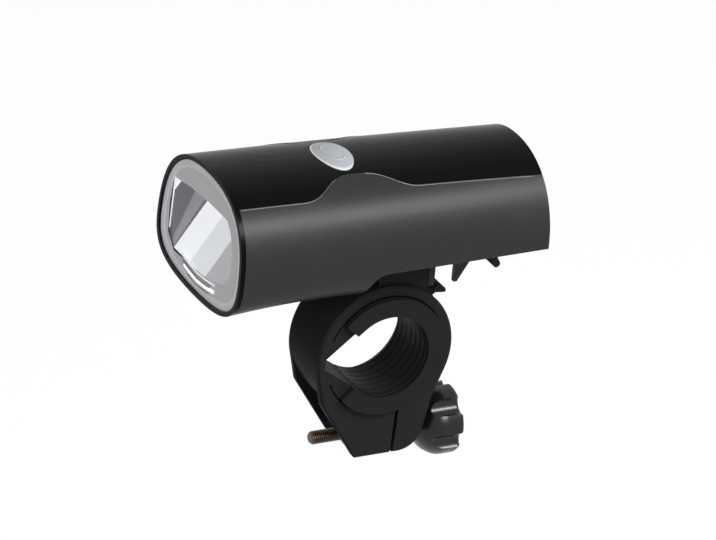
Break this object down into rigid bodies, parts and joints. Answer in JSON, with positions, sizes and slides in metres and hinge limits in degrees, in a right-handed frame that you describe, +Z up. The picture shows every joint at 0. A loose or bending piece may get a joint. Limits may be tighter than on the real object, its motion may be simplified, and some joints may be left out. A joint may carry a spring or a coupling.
{
  "type": "bicycle headlight",
  "caption": "Battery bicycle headlight with an oval lens and a long housing, on a quick-release saddle above a ring clamp tightened by a thumb knob.",
  "frame": {"origin": "centre of the handlebar bore, midway along it", "axes": "+X along the handlebar, -Y the way the light shines, +Z up"},
  "size_m": [0.068, 0.125, 0.1269],
  "materials": {
    "clamp_plastic": "matt",
    "liner_rubber": "matt",
    "screw_brass": "darkened",
    "steel": "satin",
    "knob_plastic": "satin",
    "housing_plastic": "satin",
    "cover_plastic": "gloss",
    "lens_clear": "clear",
    "seal_rubber": "matt",
    "reflector_chrome": "mirror",
    "led_yellow": "gloss",
    "board_white": "satin",
    "heat_sink_metal": "satin",
    "board_green": "satin",
    "switch_black": "matt",
    "button_silicone": "satin",
    "cell_jacket": "gloss",
    "contact_nickel": "satin"
  },
  "bodies": {
    "clamp": {"clamp_ring": "clamp_plastic", "bar_liner": "liner_rubber", "clamp_nut": "steel", "mount_shoe": "clamp_plastic", "shoe_screw": "steel"},
    "knob_carrier": {"knob_washer": "steel"},
    "knob": {"thumb_knob": "knob_plastic", "clamp_screw": "screw_brass"},
    "tongue": {"release_tongue": "clamp_plastic"},
    "lamp": {"lower_housing": "housing_plastic", "top_cover": "cover_plastic", "cover_screws": "steel", "front_bezel": "cover_plastic", "front_lens": "lens_clear", "lens_seal": "seal_rubber", "reflector": "reflector_chrome", "led_board": "board_white", "led_chip": "led_yellow", "heat_sink": "heat_sink_metal", "circuit_board": "board_green", "tact_switch": "switch_black", "indicator_leds": "led_yellow", "battery_cells": "cell_jacket", "battery_cradle": "switch_black", "contact_plate": "contact_nickel", "contact_springs": "contact_nickel", "door_pin": "steel", "latch_pin": "steel"},
    "power_button": {"button": "button_silicone", "switch_plunger": "switch_black"},
    "door": {"battery_door": "housing_plastic", "door_contacts": "contact_nickel"},
    "latch": {"door_latch": "clamp_plastic"}
  },
  "joints": [
    {"name": "knob_advance", "type": "slide", "parent": "clamp", "child": "knob_carrier", "axis": [0, 1, 0], "range_m": [0, 0.0032]},
    {"name": "knob_spin", "type": "hinge", "parent": "knob_carrier", "child": "knob", "pos_m": [0, 0.028, -0.0364], "axis": [0, 1, 0], "range_deg": [0, 1440]},
    {"name": "tongue_press", "type": "hinge", "parent": "clamp", "child": "tongue", "pos_m": [0, 0.0204, 0.019], "axis": [-1, 0, 0], "range_deg": [0, 12], "stiffness_Nm_per_rad": 0.2},
    {"name": "lamp_tilt", "type": "hinge", "parent": "clamp", "child": "lamp", "pos_m": [0, -0.011, 0.036], "axis": [1, 0, 0], "range_deg": [0, 20], "stiffness_Nm_per_rad": 1.5, "deforming": ["release_tongue"]},
    {"name": "button_press", "type": "slide", "parent": "lamp", "child": "power_button", "axis": [0, 0, -1], "range_m": [0, 0.0007], "stiffness_N_per_m": 2000},
    {"name": "door_swing", "type": "hinge", "parent": "lamp", "child": "door", "pos_m": [0, 0.0514, 0.069], "axis": [1, 0, 0], "range_deg": [0, 100], "deforming": ["door_latch"]},
    {"name": "latch_press", "type": "hinge", "parent": "lamp", "child": "latch", "pos_m": [0, 0.0431, 0.0342], "axis": [-1, 0, 0], "range_deg": [0, 12], "stiffness_Nm_per_rad": 0.2}
  ],
  "couplings": [
    {"joint": "knob_spin", "follows": "knob_advance", "rad_per_m": 7854}
  ]
}
